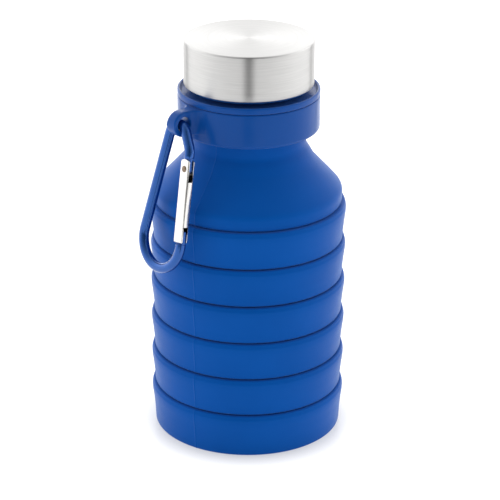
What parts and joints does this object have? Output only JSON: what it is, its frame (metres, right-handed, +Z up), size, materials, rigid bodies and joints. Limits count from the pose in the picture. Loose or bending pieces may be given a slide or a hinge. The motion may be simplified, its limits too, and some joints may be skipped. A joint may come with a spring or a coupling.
{
  "type": "collapsible water bottle",
  "caption": "Soft ribbed water bottle that folds down ring on ring, with a threaded spout, a steel screw cap and a spring-gate carabiner on the collar's ear.",
  "frame": {"origin": "centre of the base, on the surface that the bottle stands on", "axes": "+Z up along the bottle's axis; -Y to the front; the carabiner hangs at the front left, 50 degrees round from the front"},
  "size_m": [0.0838, 0.0807, 0.1664],
  "materials": {
    "soft_body": "satin blue food-grade silicone with fine moulded grain",
    "collar_plastic": "satin blue polypropylene",
    "liner_plastic": "dark blue polypropylene",
    "lid_steel": "stainless steel, brushed round the side and in circles on the top",
    "seal": "soft translucent white silicone",
    "clip_anodised": "blue anodised aluminium rod",
    "gate_metal": "bare polished aluminium",
    "rivet_metal": "bare aluminium, peened",
    "spring_steel": "plain spring steel"
  },
  "bodies": {
    "base": {"base_cup": "soft_body", "fold_web_5": "soft_body"},
    "fold_5": {"fold_ring_5": "soft_body", "fold_web_4": "soft_body"},
    "fold_4": {"fold_ring_4": "soft_body", "fold_web_3": "soft_body"},
    "fold_3": {"fold_ring_3": "soft_body", "fold_web_2": "soft_body"},
    "fold_2": {"fold_ring_2": "soft_body", "fold_web_1": "soft_body"},
    "top": {"fold_ring_1": "soft_body", "shoulder_neck": "soft_body", "carry_collar": "collar_plastic", "spout": "collar_plastic", "spout_thread": "collar_plastic"},
    "lid_seal": {"lid_gasket": "seal"},
    "lid": {"lid_shell": "lid_steel", "lid_liner": "liner_plastic", "liner_thread": "liner_plastic"},
    "clip": {"clip_frame": "clip_anodised"},
    "gate": {"clip_gate": "gate_metal", "gate_rivet": "rivet_metal", "gate_spring": "spring_steel", "gate_follower": "spring_steel"}
  },
  "joints": [
    {"name": "fold_5_slide", "type": "slide", "parent": "base", "child": "fold_5", "axis": [0, 0, -1], "range_m": [0, 0.0117], "deforming": ["fold_web_5"]},
    {"name": "fold_4_slide", "type": "slide", "parent": "fold_5", "child": "fold_4", "axis": [0, 0, -1], "range_m": [0, 0.0117], "deforming": ["fold_web_4"]},
    {"name": "fold_3_slide", "type": "slide", "parent": "fold_4", "child": "fold_3", "axis": [0, 0, -1], "range_m": [0, 0.0117], "deforming": ["fold_web_3"]},
    {"name": "fold_2_slide", "type": "slide", "parent": "fold_3", "child": "fold_2", "axis": [0, 0, -1], "range_m": [0, 0.0117], "deforming": ["fold_web_2"]},
    {"name": "fold_1_slide", "type": "slide", "parent": "fold_2", "child": "top", "axis": [0, 0, -1], "range_m": [0, 0.0117], "deforming": ["fold_web_1"]},
    {"name": "lid_lift", "type": "slide", "parent": "top", "child": "lid_seal", "axis": [0, 0, 1], "range_m": [0, 0.018]},
    {"name": "lid_turn", "type": "hinge", "parent": "lid_seal", "child": "lid", "pos_m": [0, 0, 0.147], "axis": [0, 0, 1], "range_deg": [0, 812]},
    {"name": "clip_swing", "type": "hinge", "parent": "top", "child": "clip", "pos_m": [-0.02681, -0.0225, 0.1378], "axis": [-0.6428, 0.766, 0], "range_deg": [-3, 95]},
    {"name": "gate_open", "type": "hinge", "parent": "clip", "child": "gate", "pos_m": [-0.0239, -0.03131, 0.12233], "axis": [0.7479, 0.6276, -0.2164], "range_deg": [0, 28], "stiffness_Nm_per_rad": 0.06, "springref_deg": -17.19}
  ],
  "couplings": [
    {"joint": "lid_turn", "follows": "lid_lift", "rad_per_m": 785.4}
  ]
}
